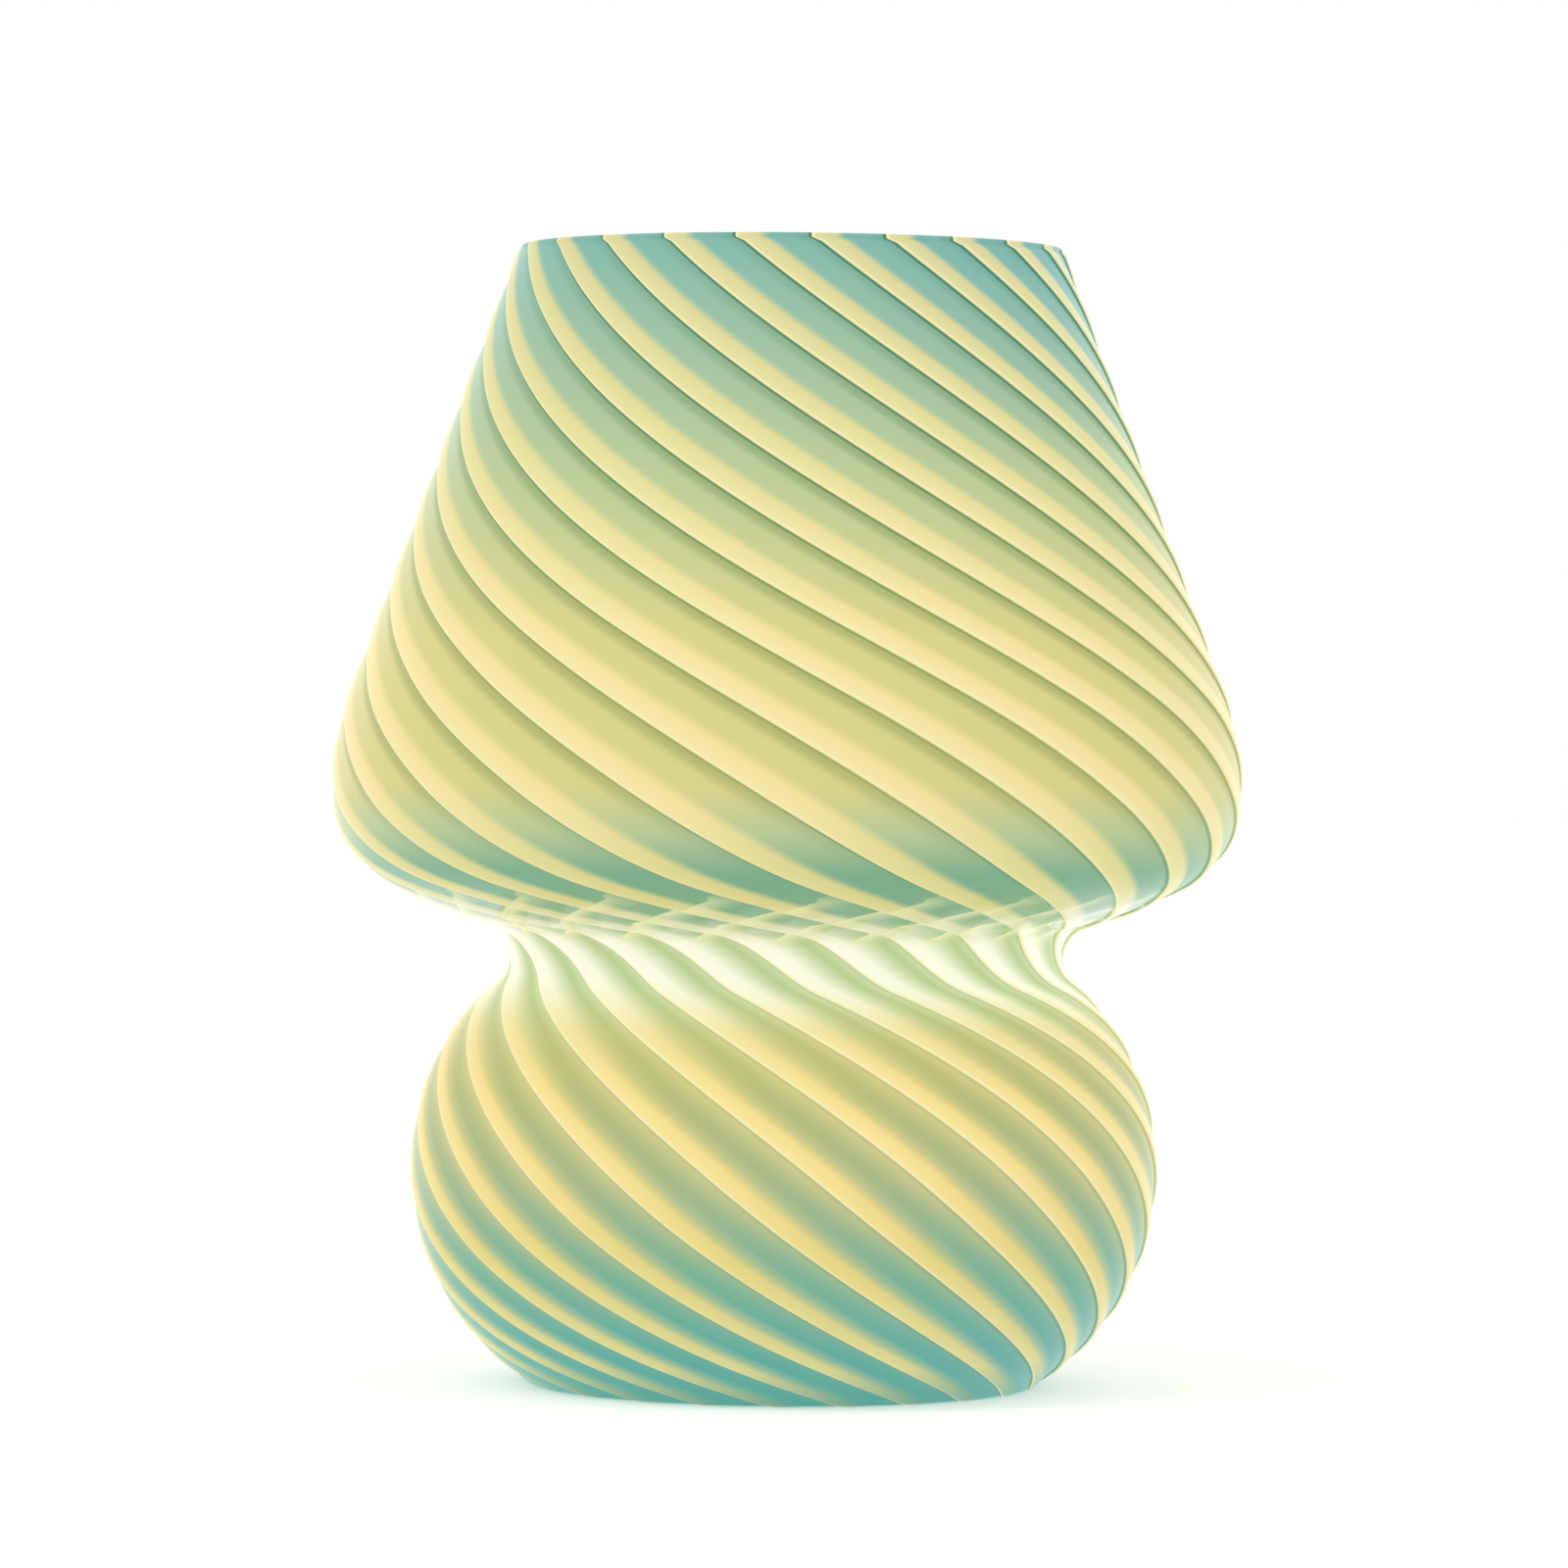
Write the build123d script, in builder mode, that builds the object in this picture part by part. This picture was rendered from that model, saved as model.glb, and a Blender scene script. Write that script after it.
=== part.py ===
"""Mushroom table lamp of swirl-ribbed opal glass, with a bulb holder fixed through its base.

Millimetres, +Z up. The origin is the middle of the foot's resting ring, and +Y is the back of
the lamp, where the cord hole is. The glass is one hollow blown piece: a round belly, a waist
and a wide shade that tapers to an open rim. A threaded tube through the floor of the glass
carries the holder, and the bulb lifts out through the rim.
"""

import math
import os

from build123d import *

os.makedirs("parts", exist_ok=True)

# Glass outline, from the foot up: each arc runs smoothly into the next
LAMP_HEIGHT = 240.0
FOOT_RADIUS = 52.0  # outer edge of the flat resting ring
FOOT_ROUND = 4.0
FOOT_SLOPE = 32.0  # degrees above level where the belly leaves the foot
BELLY_ROUND = 53.3
BELLY_TURN = 106.5
NECK_ROUND = 6.5
NECK_TURN = 123.0
UNDERSIDE_ROUND = 93.0
UNDERSIDE_TURN = 14.5
SHOULDER_ROUND = 22.0
UPPER_ROUND = 63.0
SHADE_TAPER = 20.5  # degrees that the straight side of the shade leans in

# Swirled ribs pressed into the outside of the glass
RIBS = 23
RIB_RELIEF = 0.7  # from the crest of a rib to the crease beside it
RIB_START = 14.2  # degrees round from the front at which one crease meets the foot
LEAST_STEEPNESS = 0.4  # keeps the creases shallow where the glass runs nearly level
SECTION_TURN = 6.0  # the ribs are drawn through sections this far apart round the swirl
SHORTEST_SECTION = 2.0
MARCH = 0.2  # the swirl is followed along the outline in steps of this length
# Angle between a rib and the steepest line up the glass, at shares of the lamp's height
RIB_LEAN = ((0.0, 60.0), (0.1875, 51.0), (0.4167, 57.0), (0.6667, 60.0), (1.0, 50.0))

# Glass wall, floor and holes
WALL = 3.2
FLOOR_UNDERSIDE = 7.0  # top of the hollow under the base
FLOOR = 4.0
FLOOR_FILLET = 6.0
HOLLOW_RADIUS = 43.0
HOLLOW_FLAT_RADIUS = 24.0
FLOOR_HOLE_RADIUS = 6.0
RIM_EASE = 0.8
CORD_HOLE_RADIUS = 5.0
CORD_HOLE_HEIGHT = 20.0

# Rubber bush in the cord hole
GROMMET_BORE_RADIUS = 3.5
GROMMET_FLANGE_RADIUS = 7.5
GROMMET_FLANGE = 1.4
GROMMET_GAP = 0.1
GROMMET_COLLAR = 1.0  # how far the bush stands past each flange

# Threaded tube, nuts, washer, gaskets and dish that clamp the floor
TUBE_RADIUS = 5.0
TUBE_BORE_RADIUS = 3.5
TUBE_CLEARANCE = 1.0  # from the table to the tube's lower end
THREAD_GAP = 0.05
WASHER_GAP = 0.3
SLIDE_GAP = 0.2
NUT_ACROSS_FLATS = 14.0
NUT = 3.0
WASHER_RADIUS = 15.0
WASHER = 1.0
GASKET_RADIUS = 17.0
GASKET = 1.5
DISH_FLAT_RADIUS = 22.0
DISH_RADIUS = 26.0
DISH = 1.2
DISH_LIP = 3.0
DISH_BEND = 2.4

# Small screw-in bulb holder
HOLDER_RADIUS = 14.0
HOLDER_WALL = 1.8
HOLDER_NECK_RADIUS = 9.0
HOLDER_NECK = 6.0
BOSS_RADIUS = 8.0
BOSS = 7.8
DOME_HEIGHT = 28.0
SKIRT_HEIGHT = 22.0
SKIRT_LIP = 2.0
SKIRT_ROUND = 1.0
SKIRT_MOUTH_RADIUS = 8.2
HOLDER_CORD_HOLE_RADIUS = 3.6
CORE_RADIUS = 10.4
CORE_FLANGE = 3.0
CORE_SEAT_HEIGHT = 18.0  # above the holder's lower end
CORE_FLOOR = 6.0
SOCKET_RADIUS = 7.6
SHELL_RADIUS = 7.45
SHELL_WALL = 0.35
SHELL_RIM_RADIUS = 8.6
SHELL_SINK = 1.0
SHELL_CLEARANCE = 1.8  # from the socket's floor to the lower edge of the shell
STRIP = 0.6
STRIP_WIDTH = 5.0
SCREW_SPACING = 11.0
SCREW_RADIUS = 1.5
SCREW_LENGTH = 4.2
SCREW_HEAD_RADIUS = 2.6
SCREW_HEAD = 2.0
SCREW_SLOT = 0.8
GRUB_RADIUS = 1.5

# Frosted golf-ball bulb
BULB_LENGTH = 78.0
GLOBE_RADIUS = 22.5
GLOBE_WALL = 1.0
GLOBE_BELOW_CENTRE = 12.5
HOUSING_GAP = 0.3  # from the holder's mouth up to the housing
HOUSING_FOOT_RADIUS = 12.5
HOUSING_WALL = 1.6
HOUSING_BULGE = 0.8
HOUSING_PLUG = 11.5  # how far the housing reaches down into the cap
CAP_LENGTH = 23.0
CAP_RADIUS = 6.75
CAP_WALL = 0.4
CAP_COLLAR_RADIUS = 7.6
CAP_COLLAR = 1.5
CAP_OVERLAP = 0.8
TIP_RADIUS = 2.4
TIP = 0.6
INSULATOR = 1.6
INSULATOR_TIP_RADIUS = 3.4
BOARD = 1.0
BOARD_SINK = 1.5
CHIPS = 8
CHIP_RING_RADIUS = 11.0
CHIP_LENGTH = 3.5
CHIP_WIDTH = 2.8
CHIP = 0.8
DRIVER_WIDTH = 18.0
COIL_WIDTH = 9.0
COIL_HEIGHT = 4.5
CAPACITOR_RADIUS = 3.0
CAPACITOR_LENGTH = 6.0
CAPACITOR_OFFSET = 3.6

# Heights and radii that follow from the sizes above
lower_nut = FLOOR_UNDERSIDE - GASKET - WASHER - NUT
floor_top = FLOOR_UNDERSIDE + FLOOR
upper_nut = floor_top + GASKET + DISH
holder_bottom = upper_nut + NUT
boss_top = holder_bottom + BOSS
core_seat = holder_bottom + CORE_SEAT_HEIGHT
dome_top = holder_bottom + DOME_HEIGHT
skirt_top = dome_top + SKIRT_HEIGHT
core_top = skirt_top - SKIRT_LIP
socket_floor = core_seat + CORE_FLOOR
holder_bore = HOLDER_RADIUS - HOLDER_WALL
housing_bottom = skirt_top + HOUSING_GAP
tip_bottom = housing_bottom - CAP_LENGTH
cap_bottom = tip_bottom + TIP + INSULATOR
cap_bore = CAP_RADIUS - CAP_WALL
globe_centre = tip_bottom + BULB_LENGTH - GLOBE_RADIUS
housing_top = globe_centre - GLOBE_BELOW_CENTRE
housing_top_radius = math.sqrt(GLOBE_RADIUS**2 - GLOBE_BELOW_CENTRE**2)
board_bottom = housing_top - BOARD_SINK


def heading(degrees):
    """Direction in a flat half outline, whose X is the radius and whose Y is the height."""
    return Vector(math.cos(math.radians(degrees)), math.sin(math.radians(degrees)))


foot_edge = Vector(FOOT_RADIUS, 0)
belly_start = foot_edge + FOOT_ROUND * (heading(FOOT_SLOPE - 90) - heading(-90))
belly_centre = belly_start + BELLY_ROUND * heading(FOOT_SLOPE + 90)


def wall_reach(offset, height=CORD_HOLE_HEIGHT):
    """Distance from the lamp's axis to the belly's outside moved out by offset."""
    return belly_centre.X + math.sqrt((BELLY_ROUND + offset) ** 2 - (height - belly_centre.Y) ** 2)


def draw_wall(inset, top):
    """Draw one side of the glass from the belly to the height top, inset from its outside."""
    start = belly_start + inset * heading(FOOT_SLOPE + 90)
    belly = JernArc(start, heading(FOOT_SLOPE), BELLY_ROUND - inset, BELLY_TURN)
    neck = JernArc(belly @ 1, belly % 1, NECK_ROUND + inset, -NECK_TURN)
    underside = JernArc(neck @ 1, neck % 1, UNDERSIDE_ROUND - inset, UNDERSIDE_TURN)
    to_upright = 90 - (FOOT_SLOPE + BELLY_TURN - NECK_TURN + UNDERSIDE_TURN)
    shoulder = JernArc(underside @ 1, underside % 1, SHOULDER_ROUND - inset, to_upright)
    upper = JernArc(shoulder @ 1, shoulder % 1, UPPER_ROUND - inset, SHADE_TAPER)
    rise = (top - (upper @ 1).Y) / (upper % 1).Y
    side = Line(upper @ 1, upper @ 1 + upper % 1 * rise)
    return belly, side


def lean_at(height):
    """Angle between a rib and the steepest line up the glass, in degrees."""
    share = height / LAMP_HEIGHT
    for (low, lean_low), (high, lean_high) in zip(RIB_LEAN, RIB_LEAN[1:]):
        if share <= high:
            return lean_low + (lean_high - lean_low) * (share - low) / (high - low)
    return RIB_LEAN[-1][1]


def swirl_sections(outline):
    """Radius, height, turn and slope at each section, SECTION_TURN apart round the swirl."""
    steps = round(outline.length / MARCH)
    step = outline.length / steps
    here, turn = outline @ 0, 0.0
    sections = [(here.X, here.Y, turn, abs((outline % 0).Y))]
    for i in range(1, steps + 1):
        ahead = outline @ (i / steps)
        side_step = math.tan(math.radians(lean_at(ahead.Y))) * step
        turn -= math.degrees(side_step / ((here.X + ahead.X) / 2))
        here = ahead
        to_go = (steps - i) * step
        due = sections[-1][2] - turn >= SECTION_TURN and to_go > SHORTEST_SECTION
        if due or i == steps:
            sections.append((here.X, here.Y, turn, abs((outline % (i / steps)).Y)))
    return sections


def draw_ribs(radius, turn, depth):
    """Draw a closed ring of shallow arcs that meet in creases, depth inside the crests."""
    pitch = 360 / RIBS
    for i in range(RIBS):
        angles = [math.radians(RIB_START - 90 + turn + (i + part) * pitch) for part in (0, 0.5, 1)]
        radii = (radius - depth, radius, radius - depth)
        ThreePointArc(*((r * math.cos(a), r * math.sin(a)) for r, a in zip(radii, angles)))


# The cord hole runs level towards the back, and its bush stands past both faces of the glass
cord_plane = Plane((0, 0, CORD_HOLE_HEIGHT), x_dir=(1, 0, 0), z_dir=(0, 1, 0))
hole_low = CORD_HOLE_HEIGHT - CORD_HOLE_RADIUS
hole_high = CORD_HOLE_HEIGHT + CORD_HOLE_RADIUS
bush_start = wall_reach(-WALL - GROMMET_FLANGE, hole_low) - GROMMET_COLLAR
bush_end = wall_reach(GROMMET_FLANGE, hole_high) + GROMMET_COLLAR

with BuildLine() as glass_outline:
    JernArc(foot_edge, heading(0), FOOT_ROUND, FOOT_SLOPE)
    draw_wall(0, LAMP_HEIGHT)
glass_outline_wire = glass_outline.wires()[0]

# The swirl is lofted through flat ribbed sections, then hollowed
with BuildPart() as glass_body:
    for radius, height, turn, steepness in swirl_sections(glass_outline_wire):
        with BuildSketch(Plane.XY.offset(height)):
            with BuildLine():
                draw_ribs(radius, turn, RIB_RELIEF / max(steepness, LEAST_STEEPNESS))
            make_face()
    loft()

    # Inside of the glass, down to its flat floor
    with BuildSketch(Plane.XZ) as cavity:
        with BuildLine():
            cavity_top = LAMP_HEIGHT + WALL
            inner_belly, inner_side = draw_wall(WALL, cavity_top)
            Polyline(inner_side @ 1, (0, cavity_top), (0, (inner_belly @ 0).Y), inner_belly @ 0)
        make_face()
        with Locations((0, floor_top)):
            Rectangle(
                4 * FOOT_RADIUS, LAMP_HEIGHT, align=(Align.CENTER, Align.MAX), mode=Mode.SUBTRACT
            )
        floor_corner = cavity.vertices().group_by(Axis.Y)[0].sort_by(Axis.X)[-1]
        fillet(floor_corner, FLOOR_FILLET)
    revolve(axis=Axis.Z, mode=Mode.SUBTRACT)
    rim = glass_body.faces().sort_by(Axis.Z)[-1]
    chamfer(rim.inner_wires()[0].edges(), RIM_EASE)

    # Hollow under the base, with the hole for the threaded tube
    with BuildSketch(Plane.XZ):
        with BuildLine():
            Polyline((HOLLOW_RADIUS, 0), (0, 0), (0, FLOOR_UNDERSIDE), (HOLLOW_FLAT_RADIUS, FLOOR_UNDERSIDE))
            TangentArc((HOLLOW_FLAT_RADIUS, FLOOR_UNDERSIDE), (HOLLOW_RADIUS, 0), tangent=(1, 0))
        make_face()
    revolve(axis=Axis.Z, mode=Mode.SUBTRACT)
    with BuildSketch(Plane.XY.offset(FLOOR_UNDERSIDE)):
        Circle(FLOOR_HOLE_RADIUS)
    extrude(amount=FLOOR, mode=Mode.SUBTRACT)

    # Cord hole through the back of the belly
    with BuildSketch(cord_plane):
        Circle(CORD_HOLE_RADIUS)
    extrude(amount=2 * FOOT_RADIUS, mode=Mode.SUBTRACT)

# Rubber bush in the cord hole, its two flanges bent to the curve of the glass
with BuildPart() as cord_grommet:
    with BuildSketch(Plane.YZ):
        for inner in (GROMMET_GAP, -WALL - GROMMET_GAP - GROMMET_FLANGE):
            with Locations((belly_centre.X, belly_centre.Y)):
                Circle(BELLY_ROUND + inner + GROMMET_FLANGE)
                Circle(BELLY_ROUND + inner, mode=Mode.SUBTRACT)
        with Locations((wall_reach(0), CORD_HOLE_HEIGHT)):
            Rectangle(4 * GROMMET_FLANGE_RADIUS, 3 * GROMMET_FLANGE_RADIUS, mode=Mode.INTERSECT)
    revolve(axis=Axis.Z)
    with BuildSketch(cord_plane):
        Circle(GROMMET_FLANGE_RADIUS)
    extrude(amount=2 * FOOT_RADIUS, mode=Mode.INTERSECT)
    with BuildSketch(cord_plane.offset(bush_start)):
        Circle(CORD_HOLE_RADIUS - THREAD_GAP)
    extrude(amount=bush_end - bush_start)
    with BuildSketch(cord_plane):
        Circle(GROMMET_BORE_RADIUS)
    extrude(amount=2 * FOOT_RADIUS, mode=Mode.SUBTRACT)

# Threaded tube with its two nuts
with BuildPart() as threaded_tube:
    with BuildSketch(Plane.XY.offset(TUBE_CLEARANCE)):
        Circle(TUBE_RADIUS)
        Circle(TUBE_BORE_RADIUS, mode=Mode.SUBTRACT)
    extrude(amount=boss_top - TUBE_CLEARANCE)

with BuildPart() as tube_nuts:
    for bottom in (lower_nut, upper_nut):
        with BuildSketch(Plane.XY.offset(bottom)):
            RegularPolygon(NUT_ACROSS_FLATS / 2, 6, major_radius=False)
            Circle(TUBE_RADIUS + THREAD_GAP, mode=Mode.SUBTRACT)
        extrude(amount=NUT)

# Steel washer and rubber gasket under the floor of the glass
with BuildPart() as base_washer:
    with BuildSketch(Plane.XY.offset(lower_nut + NUT)):
        Circle(WASHER_RADIUS)
        Circle(TUBE_RADIUS + WASHER_GAP, mode=Mode.SUBTRACT)
    extrude(amount=WASHER)

with BuildPart() as lower_gasket:
    with BuildSketch(Plane.XY.offset(FLOOR_UNDERSIDE - GASKET)):
        Circle(GASKET_RADIUS)
        Circle(FLOOR_HOLE_RADIUS, mode=Mode.SUBTRACT)
    extrude(amount=GASKET)

# Rubber gasket and pressed steel dish on top of the floor
with BuildPart() as upper_gasket:
    with BuildSketch(Plane.XY.offset(floor_top)):
        Circle(GASKET_RADIUS)
        Circle(FLOOR_HOLE_RADIUS, mode=Mode.SUBTRACT)
    extrude(amount=GASKET)

with BuildPart() as support_dish:
    middle = floor_top + GASKET + DISH / 2
    with BuildSketch(Plane.XZ):
        with BuildLine():
            FilletPolyline(
                (TUBE_RADIUS + WASHER_GAP, middle),
                (DISH_FLAT_RADIUS, middle),
                (DISH_RADIUS, middle + DISH_LIP),
                radius=DISH_BEND,
            )
        trace(line_width=DISH)
    revolve(axis=Axis.Z)

# Lower shell of the holder: a boss on the tube, a rounded shoulder and a ledge for the core
with BuildPart() as holder_dome:
    shoulder_top = holder_bottom + HOLDER_NECK + HOLDER_RADIUS - HOLDER_NECK_RADIUS
    with BuildSketch(Plane.XZ):
        with BuildLine():
            Polyline(
                (TUBE_RADIUS + THREAD_GAP, holder_bottom),
                (HOLDER_NECK_RADIUS, holder_bottom),
                (HOLDER_NECK_RADIUS, holder_bottom + HOLDER_NECK),
            )
            TangentArc(
                (HOLDER_NECK_RADIUS, holder_bottom + HOLDER_NECK),
                (HOLDER_RADIUS, shoulder_top),
                tangent=(1, 0),
            )
            Polyline(
                (HOLDER_RADIUS, shoulder_top),
                (HOLDER_RADIUS, dome_top),
                (holder_bore, dome_top),
                (holder_bore, core_seat),
                (CORE_RADIUS, core_seat),
                (CORE_RADIUS, boss_top + CORE_RADIUS - BOSS_RADIUS),
                (BOSS_RADIUS, boss_top),
                (TUBE_RADIUS + THREAD_GAP, boss_top),
                (TUBE_RADIUS + THREAD_GAP, holder_bottom),
            )
        make_face()
    revolve(axis=Axis.Z)
    with BuildSketch(Plane.XZ):
        with Locations((0, (boss_top + core_seat) / 2)):
            Circle(HOLDER_CORD_HOLE_RADIUS)
    extrude(amount=-2 * HOLDER_RADIUS, mode=Mode.SUBTRACT)
    with BuildSketch(Plane.YZ):
        with Locations((0, holder_bottom + HOLDER_NECK / 2)):
            Circle(GRUB_RADIUS)
    extrude(amount=HOLDER_RADIUS, mode=Mode.SUBTRACT)

# Set screw that keeps the holder from turning on its tube
with BuildPart() as grub_screw:
    with BuildSketch(Plane.YZ.offset(TUBE_RADIUS)):
        with Locations((0, holder_bottom + HOLDER_NECK / 2)):
            Circle(GRUB_RADIUS - THREAD_GAP)
            RegularPolygon(GRUB_RADIUS / 2, 6, mode=Mode.SUBTRACT)
    extrude(amount=HOLDER_NECK_RADIUS - TUBE_RADIUS)

# Upper shell of the holder, screwed down over the core
with BuildPart() as holder_skirt:
    with BuildSketch(Plane.XZ) as skirt_profile:
        with BuildLine():
            Polyline(
                (holder_bore - SLIDE_GAP, core_seat + CORE_FLANGE),
                (holder_bore - SLIDE_GAP, dome_top),
                (HOLDER_RADIUS, dome_top),
                (HOLDER_RADIUS, skirt_top),
                (SKIRT_MOUTH_RADIUS, skirt_top),
                (SKIRT_MOUTH_RADIUS, core_top),
                (CORE_RADIUS + SLIDE_GAP, core_top),
                (CORE_RADIUS + SLIDE_GAP, core_seat + CORE_FLANGE),
                close=True,
            )
        make_face()
        top_corner = skirt_profile.vertices().group_by(Axis.Y)[-1].sort_by(Axis.X)[-1]
        fillet(top_corner, SKIRT_ROUND)
    revolve(axis=Axis.Z)

# Moulded core that carries the contacts, with a blind socket for the bulb's cap
with BuildPart() as holder_core:
    with BuildSketch(Plane.XY.offset(core_seat)):
        Circle(holder_bore - SLIDE_GAP)
    extrude(amount=CORE_FLANGE)
    with BuildSketch(Plane.XY.offset(core_seat)):
        Circle(CORE_RADIUS)
    extrude(amount=core_top - core_seat)
    with BuildSketch(Plane.XY.offset(socket_floor)):
        Circle(SOCKET_RADIUS)
    extrude(amount=core_top - socket_floor, mode=Mode.SUBTRACT)
    with BuildSketch(Plane.XY.offset(core_top - SHELL_SINK)):
        Circle(SHELL_RIM_RADIUS + SLIDE_GAP)
    extrude(amount=SHELL_SINK, mode=Mode.SUBTRACT)
    with BuildSketch(Plane.XY.offset(core_seat)):
        with GridLocations(SCREW_SPACING, 0, 2, 1):
            Circle(SCREW_RADIUS)
    extrude(amount=SCREW_LENGTH + SLIDE_GAP, mode=Mode.SUBTRACT)

# Brass screw shell with a turned-out rim
with BuildPart() as screw_shell:
    shell_rim = core_top - SHELL_SINK
    with BuildSketch(Plane.XZ):
        with BuildLine():
            Polyline(
                (SHELL_RADIUS - SHELL_WALL, socket_floor + SHELL_CLEARANCE),
                (SHELL_RADIUS, socket_floor + SHELL_CLEARANCE),
                (SHELL_RADIUS, shell_rim),
                (SHELL_RIM_RADIUS, shell_rim),
                (SHELL_RIM_RADIUS, shell_rim + SHELL_WALL),
                (SHELL_RADIUS - SHELL_WALL, shell_rim + SHELL_WALL),
                close=True,
            )
        make_face()
    revolve(axis=Axis.Z)

# Spring strip on the socket's floor, bent up to meet the bulb's tip
with BuildPart() as centre_contact:
    with BuildSketch(Plane.XZ):
        with BuildLine():
            Polyline(
                (-STRIP_WIDTH, socket_floor + STRIP / 2),
                (STRIP_WIDTH, socket_floor + STRIP / 2),
                (TIP_RADIUS, tip_bottom - STRIP / 2),
                (-TIP_RADIUS, tip_bottom - STRIP / 2),
            )
        trace(line_width=STRIP)
    extrude(amount=STRIP_WIDTH / 2, both=True)

# Terminal screws in the underside of the core
with BuildPart() as terminal_screws:
    with BuildSketch(Plane.XY.offset(core_seat - SCREW_HEAD)):
        with GridLocations(SCREW_SPACING, 0, 2, 1):
            Circle(SCREW_HEAD_RADIUS)
            Rectangle(2 * SCREW_HEAD_RADIUS, SCREW_SLOT, mode=Mode.SUBTRACT)
    extrude(amount=SCREW_SLOT)
    with BuildSketch(Plane.XY.offset(core_seat - SCREW_HEAD + SCREW_SLOT)):
        with GridLocations(SCREW_SPACING, 0, 2, 1):
            Circle(SCREW_HEAD_RADIUS)
    extrude(amount=SCREW_HEAD - SCREW_SLOT)
    with BuildSketch(Plane.XY.offset(core_seat)):
        with GridLocations(SCREW_SPACING, 0, 2, 1):
            Circle(SCREW_RADIUS - THREAD_GAP)
    extrude(amount=SCREW_LENGTH)

# Bulb: tip, insulator and cap, stacked upwards from the centre contact
with BuildPart() as bulb_tip:
    with BuildSketch(Plane.XY.offset(tip_bottom)):
        Circle(TIP_RADIUS)
    extrude(amount=TIP)

with BuildPart() as bulb_insulator:
    with BuildSketch(Plane.XZ):
        with BuildLine():
            Polyline(
                (0, tip_bottom + TIP),
                (INSULATOR_TIP_RADIUS, tip_bottom + TIP),
                (cap_bore, cap_bottom),
                (cap_bore, cap_bottom + CAP_OVERLAP),
                (0, cap_bottom + CAP_OVERLAP),
                close=True,
            )
        make_face()
    revolve(axis=Axis.Z)

with BuildPart() as bulb_cap:
    with BuildSketch(Plane.XZ):
        with BuildLine():
            Polyline(
                (cap_bore, cap_bottom),
                (CAP_RADIUS, cap_bottom),
                (CAP_RADIUS, housing_bottom - CAP_COLLAR),
                (CAP_COLLAR_RADIUS, housing_bottom - CAP_COLLAR),
                (CAP_COLLAR_RADIUS, housing_bottom),
                (cap_bore, housing_bottom),
                close=True,
            )
        make_face()
    revolve(axis=Axis.Z)

# Hollow plastic housing with a plug down into the cap and a ledge for the lamp board
with BuildPart() as bulb_housing:
    with BuildSketch(Plane.XZ):
        with BuildLine():
            Polyline(
                (0, housing_bottom - HOUSING_PLUG),
                (cap_bore, housing_bottom - HOUSING_PLUG),
                (cap_bore, housing_bottom),
                (HOUSING_FOOT_RADIUS, housing_bottom),
            )
            ThreePointArc(
                (HOUSING_FOOT_RADIUS, housing_bottom),
                (
                    (HOUSING_FOOT_RADIUS + housing_top_radius) / 2 + HOUSING_BULGE,
                    (housing_bottom + housing_top) / 2,
                ),
                (housing_top_radius, housing_top),
            )
            Polyline(
                (housing_top_radius, housing_top),
                (housing_top_radius - HOUSING_WALL, housing_top),
                (housing_top_radius - HOUSING_WALL, board_bottom),
                (housing_top_radius - 2 * HOUSING_WALL, board_bottom),
                (HOUSING_FOOT_RADIUS - HOUSING_WALL, housing_bottom + HOUSING_WALL),
                (0, housing_bottom + HOUSING_WALL),
                (0, housing_bottom - HOUSING_PLUG),
            )
        make_face()
    revolve(axis=Axis.Z)

# Frosted globe: a thin ball cut level where it stands on the housing
with BuildPart() as bulb_globe:
    inner_radius = GLOBE_RADIUS - GLOBE_WALL
    outer_angle = math.degrees(math.asin(GLOBE_BELOW_CENTRE / GLOBE_RADIUS))
    inner_angle = math.degrees(math.asin(GLOBE_BELOW_CENTRE / inner_radius))
    with BuildSketch(Plane.XZ):
        with BuildLine():
            outside = CenterArc((0, globe_centre), GLOBE_RADIUS, -outer_angle, 90 + outer_angle)
            inside = CenterArc((0, globe_centre), inner_radius, -inner_angle, 90 + inner_angle)
            Line(outside @ 0, inside @ 0)
            Line(outside @ 1, inside @ 1)
        make_face()
    revolve(axis=Axis.Z)

# Round lamp board with its ring of light chips, and the driver board below it
with BuildPart() as led_board:
    with BuildSketch(Plane.XY.offset(board_bottom)):
        Circle(housing_top_radius - HOUSING_WALL - SLIDE_GAP)
    extrude(amount=BOARD)

with BuildPart() as led_chips:
    with BuildSketch(Plane.XY.offset(board_bottom + BOARD)):
        with PolarLocations(CHIP_RING_RADIUS, CHIPS):
            Rectangle(CHIP_LENGTH, CHIP_WIDTH)
    extrude(amount=CHIP)

with BuildPart() as driver_board:
    with BuildSketch(Plane.XY.offset(housing_bottom + HOUSING_WALL)):
        Rectangle(DRIVER_WIDTH, BOARD)
    extrude(amount=board_bottom - housing_bottom - HOUSING_WALL)
    with BuildSketch(Plane.XZ):
        with Locations((0, (housing_bottom + housing_top) / 2)):
            Rectangle(COIL_WIDTH, COIL_WIDTH)
    extrude(amount=COIL_HEIGHT)
    with BuildSketch(Plane.XZ):
        with Locations((CAPACITOR_OFFSET, (housing_bottom + housing_top) / 2)):
            Circle(CAPACITOR_RADIUS)
    extrude(amount=-CAPACITOR_LENGTH)

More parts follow.
